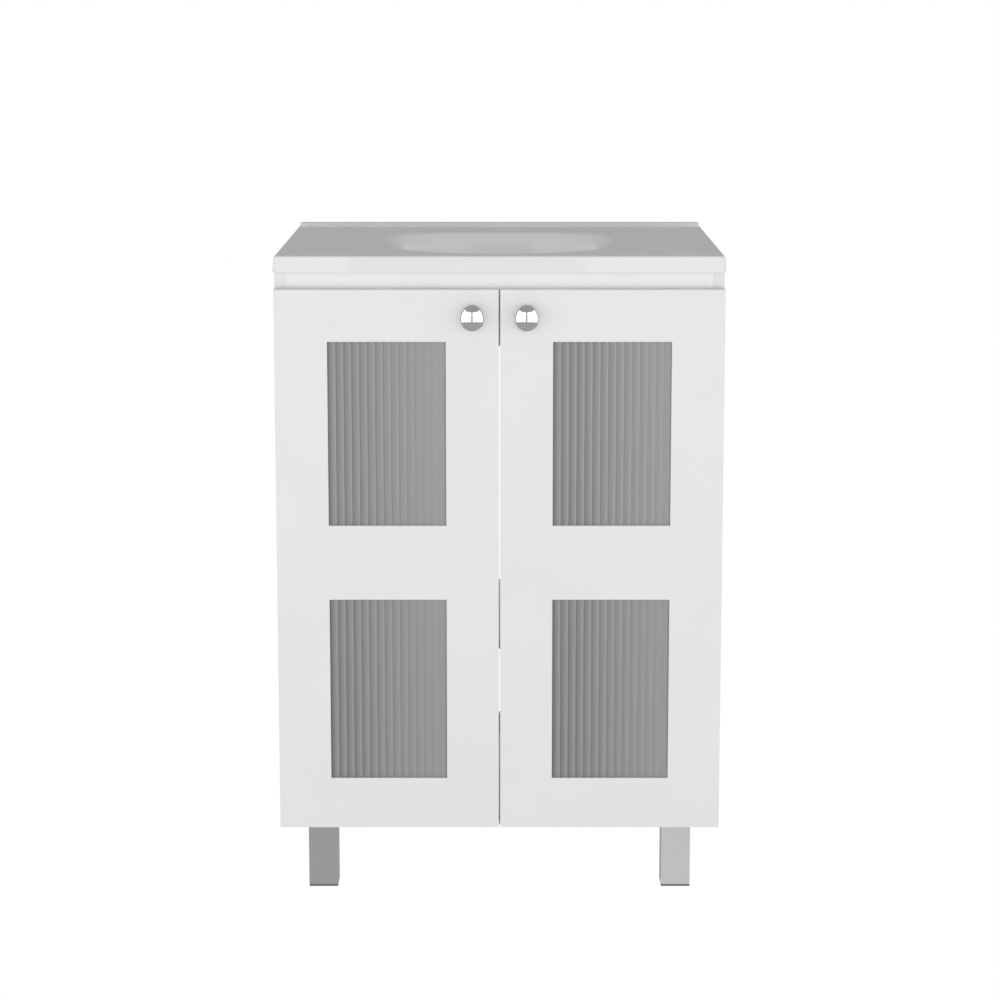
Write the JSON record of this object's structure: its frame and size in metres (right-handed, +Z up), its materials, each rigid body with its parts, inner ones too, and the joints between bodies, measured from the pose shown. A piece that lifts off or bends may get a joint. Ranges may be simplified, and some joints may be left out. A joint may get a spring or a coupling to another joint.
{
  "type": "bathroom vanity cabinet",
  "caption": "Floor-standing bathroom vanity with a moulded basin top, two hinged doors with reeded glass windows, ball knobs, an inner shelf and square metal legs.",
  "frame": {"origin": "on the floor, in the middle of the overall width and depth", "axes": "+X to the right seen from the front, +Y to the back (the doors face -Y), +Z up"},
  "size_m": [0.603, 0.487, 0.893],
  "materials": {
    "white_board": "white satin melamine and lacquer over board",
    "reeded_glass": "grey reeded glass, upright ribs",
    "glazed_top": "white gloss glaze",
    "chrome": "polished chrome plate",
    "satin_aluminium": "satin anodised",
    "dark_plastic": "moulded dark grey",
    "plated_steel": "nickel plated",
    "zinc": "die-cast zinc",
    "clear_rubber": "translucent soft pad",
    "beech": "plain beech"
  },
  "bodies": {
    "cabinet": {"back_rail_low": "white_board", "back_rail_top": "white_board", "bottom_panel": "white_board", "cam_bolts": "plated_steel", "cam_locks": "zinc", "dowels": "beech", "foot_front_left": "dark_plastic", "foot_front_right": "dark_plastic", "foot_rear_left": "dark_plastic", "foot_rear_right": "dark_plastic", "front_rail": "white_board", "hinge_arm_left_lower": "plated_steel", "hinge_arm_left_upper": "plated_steel", "hinge_arm_pins": "plated_steel", "hinge_arm_right_lower": "plated_steel", "hinge_arm_right_upper": "plated_steel", "hinge_plate_left_lower": "plated_steel", "hinge_plate_left_upper": "plated_steel", "hinge_plate_right_lower": "plated_steel", "hinge_plate_right_upper": "plated_steel", "hinge_screws": "plated_steel", "leg_front_left": "satin_aluminium", "leg_front_right": "satin_aluminium", "leg_rear_left": "satin_aluminium", "leg_rear_right": "satin_aluminium", "leg_screws": "plated_steel", "shelf": "white_board", "shelf_pins": "plated_steel", "side_panel_left": "white_board", "side_panel_right": "white_board", "vanity_top": "glazed_top"},
    "hinge_links_left": {"hinge_link_left_lower": "plated_steel", "hinge_link_left_upper": "plated_steel"},
    "door_left": {"door_bumpers_left": "clear_rubber", "door_leaf_left": "white_board", "glass_bead_left_lower": "white_board", "glass_bead_left_upper": "white_board", "glass_pane_left_lower": "reeded_glass", "glass_pane_left_upper": "reeded_glass", "hinge_cup_left_lower": "plated_steel", "hinge_cup_left_upper": "plated_steel", "hinge_cup_pins_left": "plated_steel", "hinge_cup_screws_left": "plated_steel", "knob_left": "chrome", "knob_screw_left": "plated_steel"},
    "hinge_links_right": {"hinge_link_right_lower": "plated_steel", "hinge_link_right_upper": "plated_steel"},
    "door_right": {"door_bumpers_right": "clear_rubber", "door_leaf_right": "white_board", "glass_bead_right_lower": "white_board", "glass_bead_right_upper": "white_board", "glass_pane_right_lower": "reeded_glass", "glass_pane_right_upper": "reeded_glass", "hinge_cup_pins_right": "plated_steel", "hinge_cup_right_lower": "plated_steel", "hinge_cup_right_upper": "plated_steel", "hinge_cup_screws_right": "plated_steel", "knob_right": "chrome", "knob_screw_right": "plated_steel"}
  },
  "joints": [
    {"name": "hinge_links_left_swing", "type": "hinge", "parent": "cabinet", "child": "hinge_links_left", "pos_m": [-0.27195, -0.20861, 0.4715], "axis": [0, 0, -1], "range_deg": [-64.15, 0]},
    {"name": "door_left_open", "type": "hinge", "parent": "hinge_links_left", "child": "door_left", "pos_m": [-0.28794, -0.20235, 0.4715], "axis": [0, 0, -1], "range_deg": [0, 169.05]},
    {"name": "hinge_links_right_swing", "type": "hinge", "parent": "cabinet", "child": "hinge_links_right", "pos_m": [0.27195, -0.20861, 0.4715], "axis": [0, 0, 1], "range_deg": [-64.15, 0]},
    {"name": "door_right_open", "type": "hinge", "parent": "hinge_links_right", "child": "door_right", "pos_m": [0.28794, -0.20235, 0.4715], "axis": [0, 0, 1], "range_deg": [0, 169.05]}
  ],
  "couplings": [
    {"joint": "hinge_links_left_swing", "follows": "door_left_open", "ratio": -0.37888},
    {"joint": "hinge_links_right_swing", "follows": "door_right_open", "ratio": -0.37888}
  ]
}
